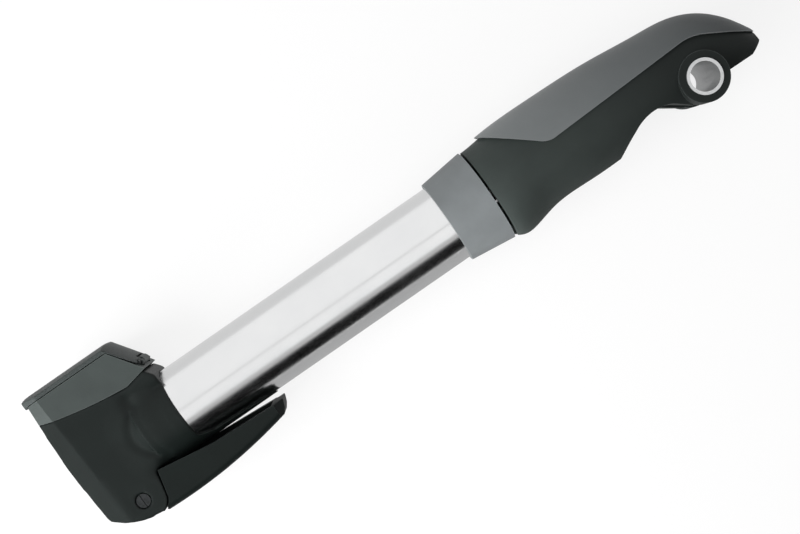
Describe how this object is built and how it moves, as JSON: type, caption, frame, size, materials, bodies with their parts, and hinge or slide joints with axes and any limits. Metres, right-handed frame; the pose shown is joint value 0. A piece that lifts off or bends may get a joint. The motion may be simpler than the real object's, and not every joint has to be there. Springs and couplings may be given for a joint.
{
  "type": "mini bicycle pump",
  "caption": "Hand-held mini tyre pump with a telescoping tube, a clamp-lever valve head under a hinged dust lid, and a grip that folds into a T-handle.",
  "frame": {"origin": "on the barrel's axis, in the middle of the part of the barrel that shows, where a frame bracket grips it", "axes": "+X along the barrel from the head to the handle, +Y out of the valve port, +Z along the lever's and the handle's hinge axes; the pump lies on its side"},
  "size_m": [0.2446, 0.0521, 0.0318],
  "materials": {
    "polished_tube": "bright drawn and polished aluminium",
    "black_plastic": "fine-grained black moulding",
    "grey_plastic": "satin grey moulding",
    "dark_plastic": "satin dark grey moulding",
    "soft_grip": "soft-touch grey overmould",
    "steel": "polished",
    "pin_steel": "blackened steel",
    "cast_alloy": "tumbled casting",
    "rubber": "plain moulded rubber",
    "white_plastic": "natural acetal",
    "brass": "turned"
  },
  "bodies": {
    "pump_body": {"barrel": "polished_tube", "barrel_gasket": "rubber", "barrel_collar": "grey_plastic", "barrel_bush": "white_plastic", "head_body": "black_plastic", "port_cap": "dark_plastic", "valve_seal": "rubber", "check_valve_seat": "white_plastic", "check_valve_flap": "rubber", "lid_pin": "steel", "lever_pin": "pin_steel"},
    "inner_tube": {"inner_tube": "polished_tube", "tube_piston": "white_plastic", "tube_ring": "rubber", "tube_valve_flap": "rubber", "tube_cap": "white_plastic"},
    "rod": {"piston_rod": "steel", "piston": "white_plastic", "piston_cup": "rubber", "piston_screw": "steel", "rod_bumper": "rubber", "rod_eye": "cast_alloy"},
    "handle": {"handle_shell": "black_plastic", "grip_overlay": "soft_grip", "pivot_tube": "steel", "eye_washers": "white_plastic"},
    "lever": {"clamp_lever": "black_plastic"},
    "plunger": {"clamp_plunger": "black_plastic", "valve_depressor": "brass"},
    "lid": {"dust_lid": "dark_plastic"}
  },
  "joints": [
    {"name": "lever_hinge", "type": "hinge", "parent": "pump_body", "child": "lever", "pos_m": [-0.0731, -0.0162, 0], "axis": [0, 0, -1], "range_deg": [0, 90]},
    {"name": "plunger_slide", "type": "slide", "parent": "pump_body", "child": "plunger", "axis": [0, 1, 0], "range_m": [0, 0.00227], "deforming": ["valve_seal"]},
    {"name": "dust_lid_hinge", "type": "hinge", "parent": "pump_body", "child": "lid", "pos_m": [-0.05105, 0.0185, 0], "axis": [0, 0, -1], "range_deg": [0, 100]},
    {"name": "telescope_slide", "type": "slide", "parent": "pump_body", "child": "inner_tube", "axis": [1, 0, 0], "range_m": [0, 0.1035]},
    {"name": "piston_slide", "type": "slide", "parent": "inner_tube", "child": "rod", "axis": [1, 0, 0], "range_m": [0, 0.085]},
    {"name": "handle_fold", "type": "hinge", "parent": "rod", "child": "handle", "pos_m": [0.1352, -0.0072, 0], "axis": [0, 0, -1], "range_deg": [0, 90]}
  ],
  "couplings": [
    {"joint": "plunger_slide", "follows": "lever_hinge", "m_per_rad": 0.00144}
  ]
}
